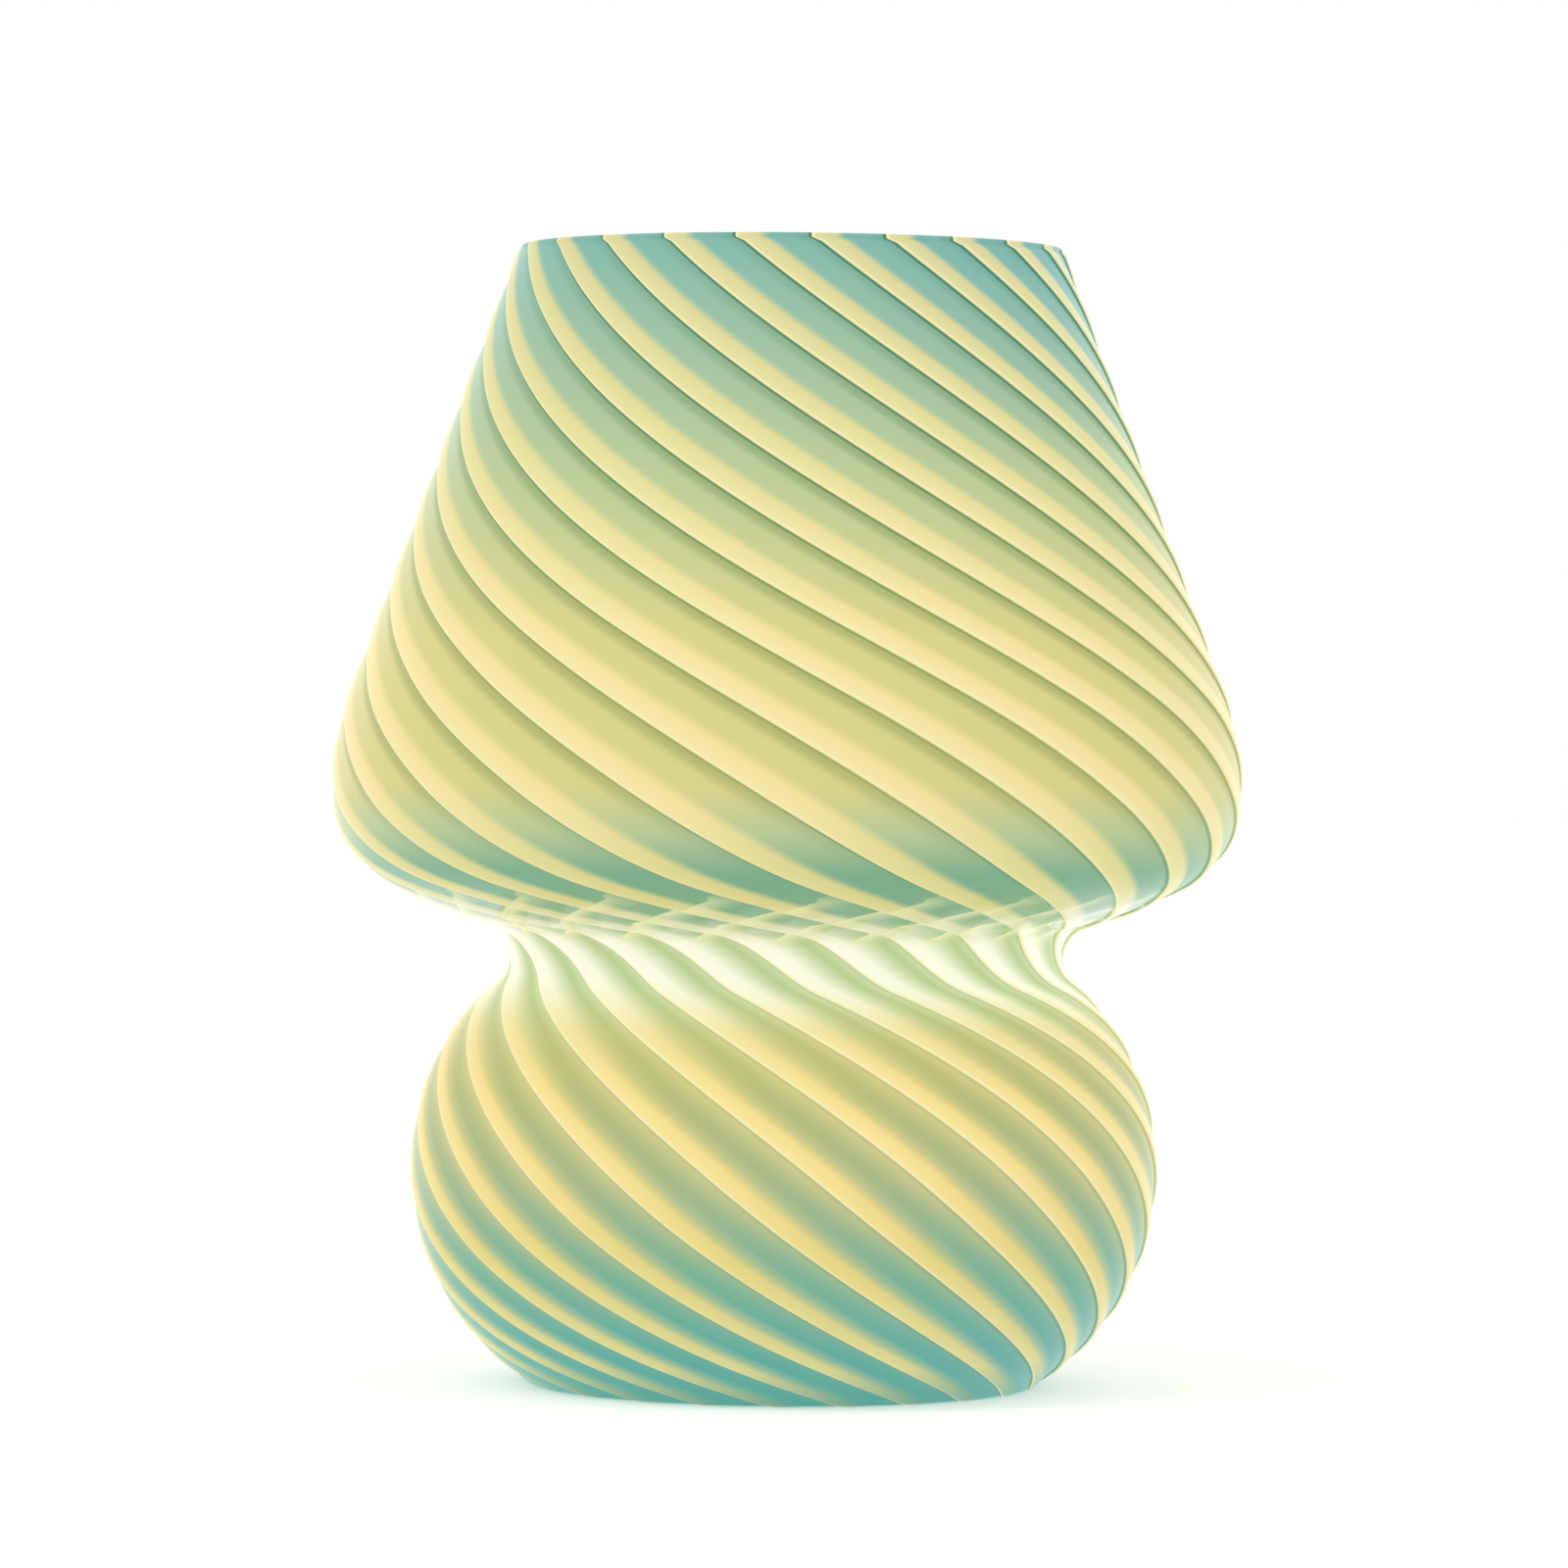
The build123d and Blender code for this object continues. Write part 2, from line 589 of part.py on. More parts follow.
pieces = {
    "glass_body": glass_body,
    "cord_grommet": cord_grommet,
    "threaded_tube": threaded_tube,
    "tube_nuts": tube_nuts,
    "base_washer": base_washer,
    "lower_gasket": lower_gasket,
    "upper_gasket": upper_gasket,
    "support_dish": support_dish,
    "holder_dome": holder_dome,
    "grub_screw": grub_screw,
    "holder_skirt": holder_skirt,
    "holder_core": holder_core,
    "screw_shell": screw_shell,
    "centre_contact": centre_contact,
    "terminal_screws": terminal_screws,
    "bulb_tip": bulb_tip,
    "bulb_insulator": bulb_insulator,
    "bulb_cap": bulb_cap,
    "bulb_housing": bulb_housing,
    "bulb_globe": bulb_globe,
    "led_board": led_board,
    "led_chips": led_chips,
    "driver_board": driver_board,
}
for name, piece in pieces.items():
    piece.part.label = name
    export_step(piece.part, f"parts/{name}.step")
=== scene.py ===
import math

import bpy
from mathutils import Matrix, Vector


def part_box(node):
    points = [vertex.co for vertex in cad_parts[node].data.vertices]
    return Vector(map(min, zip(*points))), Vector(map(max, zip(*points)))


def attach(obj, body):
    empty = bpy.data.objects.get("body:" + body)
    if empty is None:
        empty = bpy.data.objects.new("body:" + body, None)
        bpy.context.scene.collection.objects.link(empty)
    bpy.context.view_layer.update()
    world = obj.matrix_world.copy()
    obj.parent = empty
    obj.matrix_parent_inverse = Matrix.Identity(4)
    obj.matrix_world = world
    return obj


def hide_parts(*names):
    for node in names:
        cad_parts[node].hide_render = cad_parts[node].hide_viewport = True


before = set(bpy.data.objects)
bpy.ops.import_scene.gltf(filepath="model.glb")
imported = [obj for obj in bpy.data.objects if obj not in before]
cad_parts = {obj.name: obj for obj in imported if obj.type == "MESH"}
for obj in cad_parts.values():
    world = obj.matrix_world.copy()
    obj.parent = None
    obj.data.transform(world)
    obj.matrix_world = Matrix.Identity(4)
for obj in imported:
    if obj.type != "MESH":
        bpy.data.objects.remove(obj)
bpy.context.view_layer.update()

bl_info = {
    "name": "Swirled glass mushroom lamp",
    "version": (1, 0, 0),
    "blender": (4, 5, 0),
    "location": "View3D > Sidebar > Lamp",
    "description": "Dresses the packed lamp: swirl-ribbed opal glass, fittings, bulb and a plain stage",
    "category": "Add Mesh",
}

MM = 0.001
GLASS_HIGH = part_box("glass_body")[1]

# Each arc of the glass outline, from the foot up: radius in millimetres and turn in degrees.
# A negative turn bends outwards.
FOOT_ARC = (4.0, 32.0)
BELLY_ARC = (53.3, 106.5)
NECK_ARC = (6.5, -123.0)
UNDERSIDE_ARC = (93.0, 14.5)
SHOULDER_ARC = (22.0, 60.0)
UPPER_ARC = (63.0, 20.5)
# Angle between a rib and the steepest way up the glass, at shares of the lamp's height
RIB_LEAN = ((0.0, 60.0), (0.1875, 51.0), (0.4167, 57.0), (0.6667, 60.0), (1.0, 50.0))
# Where the mesh has its columns across one rib, from crease to crease
COLUMNS = (0.0, 0.018, 0.036, 0.055, 0.085, 0.14, 0.21, 0.29, 0.38, 0.48, 0.60, 0.72, 0.84, 0.94)
# Share of a rib's width over which it rises from the crease to its ridge
RIB_EDGE = 0.055
# Share of a rib's height that is left at the foot and on the rim, and how high up it is whole
RIB_AT_FOOT, RIB_AT_RIM, RIB_WHOLE = 0.15, 0.9, 3 * MM
# Height of the waist as a share of the lamp's
WAIST_SHARE = 0.39
# How far down the belly a place on the underside looks, for each step that it lies up from the fold
MIRROR_FALL = 1.6
# About the distance between rings up the glass, and the round of both edges of the rim
RING_STEP, RIM_ROUND = 1.7 * MM, 0.9 * MM
# Base of the glass: the floor's height and round corner, the hole for the tube, and the height
# and radius of the flat top of the hollow
FLOOR_TOP, FLOOR_CORNER, TUBE_HOLE = 11 * MM, 6 * MM, 6 * MM
HOLLOW_TOP, HOLLOW_FLAT = 7 * MM, 24 * MM
# Cord hole at the back: height of its middle, radius, and a cutter from the axis past the belly
CORD_HOLE_HEIGHT, CORD_HOLE_RADIUS, CORD_HOLE_REACH = 20 * MM, 5 * MM, 104 * MM


def linear(code):
    """Linear RGBA of an sRGB hex colour."""
    parts = [int(code[i : i + 2], 16) / 255 for i in (1, 3, 5)]
    return tuple(p / 12.92 if p <= 0.04045 else ((p + 0.055) / 1.055) ** 2.4 for p in parts) + (1.0,)


def colour(name, code):
    """A colour property with an sRGB hex default."""
    return bpy.props.FloatVectorProperty(
        name=name, description=name, subtype="COLOR", size=4, min=0, max=1, default=linear(code)
    )


def length(name, millimetres):
    """A length property with its default in millimetres."""
    return bpy.props.FloatProperty(
        name=name, description=name, unit="LENGTH", min=0, precision=4, default=millimetres * MM
    )


class LampGlass(bpy.types.PropertyGroup):
    """Sizes and colours of the blown glass."""

    height: bpy.props.FloatProperty(
        name="Height", description="Foot to rim", unit="LENGTH", default=GLASS_HIGH.z
    )
    foot_radius: length("Outer radius of the foot", 52.0)
    hollow_radius: length("Radius of the hollow under the base", 43.0)
    wall: length("Wall thickness", 3.2)
    relief: length("Height of a rib above its crease", 0.7)
    inset: length("Depth of the ridges below those of the packed glass", 0.26)
    ribs: bpy.props.IntProperty(name="Ribs", description="Ribs round the glass", default=23, min=3)
    start: bpy.props.FloatProperty(
        name="First crease", description="Angle from the front at the foot", subtype="ANGLE",
        default=math.radians(14.2),
    )
    glow: bpy.props.FloatProperty(
        name="Glow", description="Share of the colour that is the bulb's light coming through",
        default=0.55, min=0, max=1, subtype="FACTOR",
    )
    # Up the glass the bands' colours hold painted light from the bulb: warm and pale beside it, cooler
    # teal towards the foot and rim
    deep_teal: colour("Green bands at the foot", "#64b4aa")
    teal: colour("Green bands low on the belly", "#7bb69c")
    rim_teal: colour("Green bands at the rim", "#81b9ab")
    shaded_teal: colour("Green bands under the shade", "#7eb391")
    blue_teal: colour("Blue end of the green bands", "#74b4b4")
    moss: colour("Green bands at the middle of the belly", "#a8ba89")
    sage: colour("Green bands on the upper shade", "#b9cb98")
    khaki: colour("Green bands on the lit belly", "#b9bf7b")
    straw: colour("Green bands level with the bulb", "#d9d38a")
    lit_green: colour("Green bands on the waist", "#b3c986")
    foot_cream: colour("Pale bands at the foot", "#80b7a2")
    gold_cream: colour("Pale bands low on the belly", "#efdd8b")
    gold: colour("Pale bands on the lit belly", "#fbe69a")
    cool_cream: colour("Pale bands low down and under the shade", "#e9e29c")
    rim_cream: colour("Pale bands at the rim", "#e2db9f")
    cream: colour("Pale bands on the upper shade", "#e8e2a0")
    warm_cream: colour("Pale bands level with the bulb", "#f6e7a8")
    white_glow: colour("Waist beside the bulb", "#fffeea")
    # Painted reflection of the belly's ridges
    mirrored: colour("Belly's light on the underside", "#f2f0b8")
    lining: colour("Opal layer inside", "#efe9c4")
    amber: colour("Tint where a pale band thins out", "#fff0c8")
    # Painted shade in the creases
    crease: colour("Tint of the thick glass in a crease", "#97b897")
    # Painted highlight along each ridge
    ridge: colour("Light caught on a ridge", "#fcf3bf")


class LampFittings(bpy.types.PropertyGroup):
    """Colours of the fittings and the bulb."""

    rubber: colour("Rubber", "#1c1c1d")
    steel: colour("Zinc-plated steel", "#b4b8bc")
    moulding: colour("White mouldings", "#e9e7e0")
    brass: colour("Brass", "#d8b56c")
    nickel: colour("Nickel plating", "#c6c1b6")
    diffuser: colour("Frosted globe", "#fff2d2")
    globe_light: bpy.props.FloatProperty(
        name="Globe light", description="Strength of the lit globe", default=0.75, min=0
    )


class LampStage(bpy.types.PropertyGroup):
    """Camera, floor and light."""

    distance: length("Camera distance", 1600.0)
    camera_height: length("Camera height", 150.0)
    camera_side: bpy.props.FloatProperty(
        name="Camera to the right", description="Camera's place across the front", unit="LENGTH",
        precision=4, default=-0.9 * MM,
    )
    lens: bpy.props.FloatProperty(
        name="Focal length", description="On a 36 mm sensor", unit="CAMERA", default=173.9
    )
    tilt: bpy.props.FloatProperty(
        name="Tilt", description="Camera's tilt below level", subtype="ANGLE",
        default=math.radians(0.83),
    )
    roll: bpy.props.FloatProperty(
        name="Roll", description="Camera's roll", subtype="ANGLE", default=math.radians(-0.5)
    )
    floor: colour("Floor", "#ececea")
    world_level: bpy.props.FloatProperty(
        name="Even light", description="Strength of the even light all round", default=0.8, min=0
    )
    key: bpy.props.FloatProperty(name="Key light", description="Watts", default=8.0, min=0)
    fill: bpy.props.FloatProperty(name="Fill light", description="Watts", default=4.0, min=0)
    floor_lift: bpy.props.FloatProperty(
        name="Floor lift", description="White added to the floor as camera, mirrors and glass see it",
        default=0.36, min=0,
    )


def add_node(tree, kind, inputs=None, output=0, stops=(), ease=False, **settings):
    """Add a shader node with its settings, set or link its inputs, and return one of its outputs.

    A colour ramp takes stops, pairs of a place and a colour or grey level, and ease for soft runs.
    A mix of colours takes its factor and two colours at inputs 0, 6 and 7, and gives output 2.
    """
    made = tree.nodes.new(kind)
    for name, value in settings.items():
        setattr(made, name, value)
    for name, value in (inputs or {}).items():
        if isinstance(value, bpy.types.NodeSocket):
            tree.links.new(value, made.inputs[name])
        else:
            made.inputs[name].default_value = value
    if stops:
        ramp = made.color_ramp
        ramp.interpolation = "EASE" if ease else "LINEAR"
        while len(ramp.elements) < len(stops):
            ramp.elements.new(1.0)
        for element, (place, shade) in zip(ramp.elements, stops):
            element.position = place
            element.color = tuple(shade) if hasattr(shade, "__len__") else (shade, shade, shade, 1.0)
    return made.outputs[output]


def new_material(name, **inputs):
    """A material of one Principled shader; inputs are set by the shader's socket names."""
    material = bpy.data.materials.new(name)
    material.use_nodes = True
    shader = material.node_tree.nodes["Principled BSDF"]
    for key, value in inputs.items():
        shader.inputs[key.replace("_", " ")].default_value = value
    return material, material.node_tree, shader


def clouds(tree, size, low, high, detail=2.0):
    """A value or colour that drifts from low to high in clouds of about size millimetres."""
    place = add_node(tree, "ShaderNodeTexCoord", output="Object")
    cloud = add_node(tree, "ShaderNodeTexNoise", {
        "Vector": place, "Scale": 1 / (size * MM), "Detail": detail,
    }, "Fac")
    if hasattr(low, "__len__"):
        return add_node(tree, "ShaderNodeMix", {0: cloud, 6: low, 7: high}, 2, data_type="RGBA")
    return add_node(tree, "ShaderNodeMapRange", {"Value": cloud, "To Min": low, "To Max": high})


def roughen(tree, shader, size, depth, strength=0.5, detail=2.0):
    """Raise a grain on the surface: lumps of about size millimetres, depth millimetres high."""
    height = clouds(tree, size, 0.0, 1.0, detail)
    tree.links.new(add_node(tree, "ShaderNodeBump", {
        "Strength": strength, "Distance": depth * MM, "Height": height,
    }), shader.inputs["Normal"])


def pale_share(tree, across, up):
    """How much of the pale glass shows, 0 to 1, at a place across a rib and up the lamp.

    The pale band starts hard at the ridge. It ends crisply on the shade, softly on the belly, and
    fades right across the rib at the waist.
    """
    on_shade = add_node(tree, "ShaderNodeValToRGB", {0: across}, stops=(
        (0.025, 0.0), (0.04, 1.0), (0.33, 0.88), (0.45, 0.1), (0.49, 0.0),
    ))
    on_belly = add_node(tree, "ShaderNodeValToRGB", {0: across}, stops=(
        (0.02, 0.0), (0.035, 1.0), (0.27, 0.9), (0.42, 0.28), (0.58, 0.0),
    ))
    on_waist = add_node(tree, "ShaderNodeValToRGB", {0: across}, stops=(
        (0.02, 0.2), (0.035, 1.0), (0.34, 0.93), (0.6, 0.4), (0.84, 0.0),
    ))
    above_belly = add_node(tree, "ShaderNodeValToRGB", {0: up}, stops=((0.27, 0.0), (0.35, 1.0)))
    above_waist = add_node(tree, "ShaderNodeValToRGB", {0: up}, stops=((0.395, 0.0), (0.42, 1.0)))
    lower = add_node(tree, "ShaderNodeMix", {
        0: above_belly, 6: on_belly, 7: on_waist,
    }, 2, data_type="RGBA")
    band = add_node(tree, "ShaderNodeMix", {
        0: above_waist, 6: lower, 7: on_shade,
    }, 2, data_type="RGBA")
    # On the belly the green thins out again before the next ridge
    lead = add_node(tree, "ShaderNodeValToRGB", {0: across}, stops=(
        (0.0, 1.0), (0.03, 0.0), (0.66, 0.0), (0.82, 0.3), (1.0, 1.0),
    ))
    thin = add_node(tree, "ShaderNodeValToRGB", {0: up}, stops=(
        (0.04, 0.1), (0.2, 0.42), (0.33, 0.4), (0.39, 0.3), (0.42, 0.0),
    ))
    lead = add_node(tree, "ShaderNodeMath", {0: lead, 1: thin}, operation="MULTIPLY")
    return add_node(tree, "ShaderNodeMath", {0: band, 1: lead}, operation="MAXIMUM")


def crease_shade_share(tree, across, up):
    """Painted shade in a crease, where the thick glass lets less light through, 0 to 1.

    A soft dark band on the shade, with a fine line in it towards the rim, and next to nothing on
    the belly.
    """
    fine = add_node(tree, "ShaderNodeValToRGB", {0: across}, stops=(
        (0.0, 1.0), (0.018, 1.0), (0.03, 0.0), (0.96, 0.0), (1.0, 1.0),
    ))
    fine_up = add_node(tree, "ShaderNodeValToRGB", {0: up}, stops=(
        (0.0, 0.5), (0.15, 0.1), (0.32, 0.05), (0.41, 0.2), (0.5, 0.6), (0.8, 1.0),
    ))
    wide = add_node(tree, "ShaderNodeValToRGB", {0: across}, ease=True, stops=(
        (0.0, 0.55), (0.03, 0.0), (0.75, 0.0), (0.93, 0.45), (1.0, 0.55),
    ))
    wide_up = add_node(tree, "ShaderNodeValToRGB", {0: up}, ease=True, stops=(
        (0.44, 0.0), (0.56, 1.0), (0.8, 1.0), (1.0, 0.4),
    ))
    fine = add_node(tree, "ShaderNodeMath", {0: fine, 1: fine_up}, operation="MULTIPLY")
    wide = add_node(tree, "ShaderNodeMath", {0: wide, 1: wide_up}, operation="MULTIPLY")
    return add_node(tree, "ShaderNodeMath", {0: fine, 1: wide}, operation="MAXIMUM")


def mirrored_share(tree, facing, outer, up):
    """Painted reflection: where a ridge of the belly would show in the glossy underside of the shade, 0
    to 1.
    """
    ridge = add_node(tree, "ShaderNodeMath", {0: facing}, operation="FRACT")
    ridge = add_node(tree, "ShaderNodeValToRGB", {0: ridge}, stops=(
        (0.0, 0.0), (0.04, 1.0), (0.1, 0.85), (0.3, 0.3), (0.5, 0.0),
    ))
    under = add_node(tree, "ShaderNodeValToRGB", {0: up}, stops=(
        (0.392, 0.0), (0.398, 0.9), (0.425, 0.8), (0.44, 0.0),
    ))
    under = add_node(tree, "ShaderNodeMath", {0: under, 1: outer}, operation="MULTIPLY")
    return add_node(tree, "ShaderNodeMath", {0: ridge, 1: under}, operation="MULTIPLY")


def opal_glass(glass):
    """Blown opal glass cased over stripes of clear green glass, fire-polished.

    The mould's ribs leave a sharp ridge on one side of each pale band. Light from inside
    shows the bands strongest, warm beside the bulb and cooler towards the foot and rim. This
    light is painted into the colour up the lamp, and drawn as glow in that colour.
    """
    # The specular level is below that of such glass, because white surroundings wash out its edges
    material, tree, shader = new_material(
        "blown opal glass", Roughness=0.25, IOR=1.52, Specular_IOR_Level=0.12, Coat_Roughness=0.01
    )
    swirl = add_node(tree, "ShaderNodeUVMap", uv_map="swirl")
    across = add_node(tree, "ShaderNodeSeparateXYZ", {0: swirl}, "X")
    across = add_node(tree, "ShaderNodeMath", {0: across}, operation="FRACT")
    up = add_node(tree, "ShaderNodeSeparateXYZ", {0: swirl}, "Y")
    underside = add_node(tree, "ShaderNodeUVMap", uv_map="facing")
    facing = add_node(tree, "ShaderNodeSeparateXYZ", {0: underside}, "X")
    outer = add_node(tree, "ShaderNodeSeparateXYZ", {0: underside}, "Y")
    # Painted light: both bands change colour up the lamp as the bulb's light reaches them
    green = add_node(tree, "ShaderNodeValToRGB", {0: up}, stops=(
        (0.0, glass.deep_teal), (0.04, glass.deep_teal), (0.11, glass.teal), (0.2, glass.moss),
        (0.28, glass.khaki), (0.31, glass.khaki), (0.36, glass.lit_green), (0.395, glass.lit_green),
        (0.415, glass.shaded_teal), (0.455, glass.shaded_teal), (0.49, glass.sage),
        (0.53, glass.straw), (0.66, glass.straw), (0.8, glass.sage), (1.0, glass.rim_teal),
    ))
    pale = add_node(tree, "ShaderNodeValToRGB", {0: up}, stops=(
        (0.0, glass.foot_cream), (0.035, glass.cool_cream), (0.13, glass.gold_cream),
        (0.21, glass.gold), (0.28, glass.gold), (0.325, glass.warm_cream), (0.362, glass.white_glow),
        (0.395, glass.white_glow), (0.43, glass.cool_cream), (0.46, glass.cool_cream),
        (0.52, glass.warm_cream), (0.66, glass.warm_cream), (0.82, glass.cream), (1.0, glass.rim_cream),
    ))
    # The colour was laid on unevenly: one side runs to blue at the rim and low on the belly
    body = add_node(tree, "ShaderNodeTexCoord", output="Object")
    side = add_node(tree, "ShaderNodeSeparateXYZ", {0: body}, "X")
    side = add_node(tree, "ShaderNodeMapRange", {
        "Value": side, "From Min": GLASS_HIGH.x * 0.1, "From Max": GLASS_HIGH.x * 0.6,
    })
    reach = add_node(tree, "ShaderNodeValToRGB", {0: up}, stops=(
        (0.03, 0.4), (0.1, 0.15), (0.2, 0.0), (0.8, 0.0), (0.98, 0.6),
    ))
    blue = add_node(tree, "ShaderNodeMath", {0: side, 1: reach}, operation="MULTIPLY")
    green = add_node(tree, "ShaderNodeMix", {
        0: blue, 6: green, 7: glass.blue_teal,
    }, 2, data_type="RGBA")
    band = pale_share(tree, across, up)
    shade = add_node(tree, "ShaderNodeMix", {0: band, 6: green, 7: pale}, 2, data_type="RGBA")
    # A breath of amber where the pale glass thins out, away from the bulb
    amber = add_node(tree, "ShaderNodeValToRGB", {0: across}, ease=True, stops=(
        (0.12, 0.0), (0.32, 0.2), (0.46, 0.0),
    ))
    away = add_node(tree, "ShaderNodeValToRGB", {0: up}, stops=(
        (0.3, 1.0), (0.35, 0.0), (0.4, 0.0), (0.45, 1.0),
    ))
    amber = add_node(tree, "ShaderNodeMath", {0: amber, 1: away}, operation="MULTIPLY")
    # The amber tint and the painted shade in the creases are multiplied on
    for share, tint in ((amber, glass.amber), (crease_shade_share(tree, across, up), glass.crease)):
        shade = add_node(tree, "ShaderNodeMix", {
            0: share, 6: shade, 7: tint,
        }, 2, data_type="RGBA", blend_type="MULTIPLY")
    # Little light gets through the fold between the shade and the waist
    fold = add_node(tree, "ShaderNodeValToRGB", {0: up}, stops=(
        (0.397, 1.0), (0.405, 0.88), (0.43, 0.95), (0.45, 1.0),
    ))
    shade = add_node(tree, "ShaderNodeMix", {
        0: 1.0, 6: shade, 7: fold,
    }, 2, data_type="RGBA", blend_type="MULTIPLY")
    # The belly's stripes mirror in the underside. The glass mirrors them weakly by itself, so the
    # mirrored ridges are a painted reflection, and stay in place as the viewer moves.
    mirrored = mirrored_share(tree, facing, outer, up)
    shade = add_node(tree, "ShaderNodeMix", {
        0: mirrored, 6: shade, 7: glass.mirrored,
    }, 2, data_type="RGBA")
    # Painted highlight: the ridge catches the light as a fine pale line
    ridge = add_node(tree, "ShaderNodeValToRGB", {0: across}, stops=(
        (0.025, 0.0), (0.035, 0.85), (0.055, 0.85), (0.07, 0.15), (0.13, 0.0),
    ))
    shade = add_node(tree, "ShaderNodeMix", {0: ridge, 6: shade, 7: glass.ridge}, 2, data_type="RGBA")
    # Inside, the opal layer lies over the stripes and veils them
    veil = 0.45
    veiled = add_node(tree, "ShaderNodeMix", {0: veil, 6: shade, 7: glass.lining}, 2, data_type="RGBA")
    shade = add_node(tree, "ShaderNodeMix", {0: outer, 6: veiled, 7: shade}, 2, data_type="RGBA")
    # Gathers of glass are never even: the green drifts a little over 60 mm
    drift = add_node(tree, "ShaderNodeCombineColor", {
        "Red": clouds(tree, 60.0, 0.95, 1.05, 1.0), "Green": 1.0, "Blue": 1.0,
    })
    shade = add_node(tree, "ShaderNodeMix", {
        0: 1.0, 6: shade, 7: drift,
    }, 2, data_type="RGBA", blend_type="MULTIPLY")
    unlit = (1 - glass.glow,) * 3 + (1.0,)
    outside = add_node(tree, "ShaderNodeMix", {
        0: 1.0, 6: shade, 7: unlit,
    }, 2, data_type="RGBA", blend_type="MULTIPLY")
    tree.links.new(outside, shader.inputs["Base Color"])
    tree.links.new(shade, shader.inputs["Emission Color"])
    # Only the fold has a clear coat, for a glossy shine of the waist in the underside
    polish = add_node(tree, "ShaderNodeValToRGB", {0: up}, stops=(
        (0.39, 0.0), (0.4, 0.7), (0.42, 0.7), (0.44, 0.0),
    ))
    tree.links.new(polish, shader.inputs["Coat Weight"])
    # The waist is nearest to the bulb, so it glows stronger by about a seventh
    near = add_node(tree, "ShaderNodeValToRGB", {0: up}, stops=(
        (0.3, 0.0), (0.355, 1.0), (0.395, 1.0), (0.41, 0.0),
    ))
    tree.links.new(add_node(tree, "ShaderNodeMapRange", {
        "Value": near, "To Min": glass.glow, "To Max": glass.glow * 1.15,
    }), shader.inputs["Emission Strength"])
    return material


def rubber(fittings):
    """Moulded EPDM rubber: black, matt, with a faint grain from the mould."""
    material, tree, shader = new_material("moulded rubber", Roughness=0.62, IOR=1.52)
    tree.links.new(clouds(tree, 2.5, fittings.rubber, linear("#2a2a2b")), shader.inputs["Base Color"])
    tree.links.new(clouds(tree, 0.8, 0.5, 0.74), shader.inputs["Roughness"])
    roughen(tree, shader, 0.4, 0.03)
    return material


def zinc_steel(fittings):
    """Steel with bright zinc plating: satin grey with cloudy patches from the bath."""
    material, tree, shader = new_material("zinc-plated steel", Metallic=1.0)
    tree.links.new(clouds(tree, 3.0, fittings.steel, linear("#c9c8bd")), shader.inputs["Base Color"])
    tree.links.new(clouds(tree, 1.2, 0.26, 0.42), shader.inputs["Roughness"])
    # Turning marks are about 0.1 mm apart, drawn 2.5 mm apart so that they show. The texture
    # turns 20 radians in each unit of its scale.
    place = add_node(tree, "ShaderNodeTexCoord", output="Object")
    rings = add_node(tree, "ShaderNodeTexWave", {
        "Vector": place, "Scale": math.tau / (2.513 * MM) / 20, "Distortion": 0.6, "Detail": 1.0,
    }, "Fac", wave_type="RINGS", rings_direction="Z")
    tree.links.new(add_node(tree, "ShaderNodeBump", {
        "Strength": 0.25, "Distance": 0.02 * MM, "Height": rings,
    }), shader.inputs["Normal"])
    return material


def white_moulding(fittings):
    """Injection-moulded PBT: off-white and satin, with the fine texture of a sparked mould."""
    material, tree, shader = new_material("moulded PBT", IOR=1.55)
    tree.links.new(clouds(tree, 6.0, fittings.moulding, linear("#dfdcd2")), shader.inputs["Base Color"])
    tree.links.new(clouds(tree, 1.0, 0.32, 0.44), shader.inputs["Roughness"])
    # A sparked texture has pits of 0.05 mm, drawn at 0.25 mm so that they show
    roughen(tree, shader, 0.25, 0.015, 0.4, 0.0)
    return material


def rolled_brass(fittings):
    """Rolled brass strip: warm and bright, with faint dull patches where it was handled."""
    material, tree, shader = new_material("rolled brass", Metallic=1.0)
    tree.links.new(clouds(tree, 2.0, fittings.brass, linear("#b98f4a")), shader.inputs["Base Color"])
    tree.links.new(clouds(tree, 1.0, 0.18, 0.34), shader.inputs["Roughness"])
    return material


def nickel_plate(fittings):
    """Rolled brass thread with bright nickel plating, scuffed along its crests."""
    material, tree, shader = new_material("nickel-plated brass", Metallic=1.0)
    crest = add_node(tree, "ShaderNodeNewGeometry", output="Pointiness")
    worn = add_node(tree, "ShaderNodeValToRGB", {0: crest}, stops=((0.5, 0.0), (0.56, 0.5)))
    tint = add_node(tree, "ShaderNodeMix", {
        0: worn, 6: fittings.nickel, 7: linear("#ddd3bb"),
    }, 2, data_type="RGBA")
    tree.links.new(tint, shader.inputs["Base Color"])
    tree.links.new(clouds(tree, 0.9, 0.14, 0.3), shader.inputs["Roughness"])
    return material


def glass_insulator():
    """Pressed black glass between the cap and its tip: glossy, with a slight ripple."""
    material, tree, shader = new_material("pressed black glass", Roughness=0.08, IOR=1.52)
    tree.links.new(clouds(tree, 1.5, linear("#0b0b0d"), linear("#17171b")), shader.inputs["Base Color"])
    roughen(tree, shader, 1.0, 0.04, 0.3, 0.0)
    return material


def solder():
    """A blob of tin solder: dull silver, uneven where it froze."""
    material, tree, shader = new_material("tin solder", Metallic=1.0)
    tree.links.new(clouds(tree, 0.6, linear("#bfc0bf"), linear("#9fa09e")), shader.inputs["Base Color"])
    tree.links.new(clouds(tree, 0.5, 0.25, 0.5), shader.inputs["Roughness"])
    roughen(tree, shader, 0.9, 0.1, 0.6)
    return material


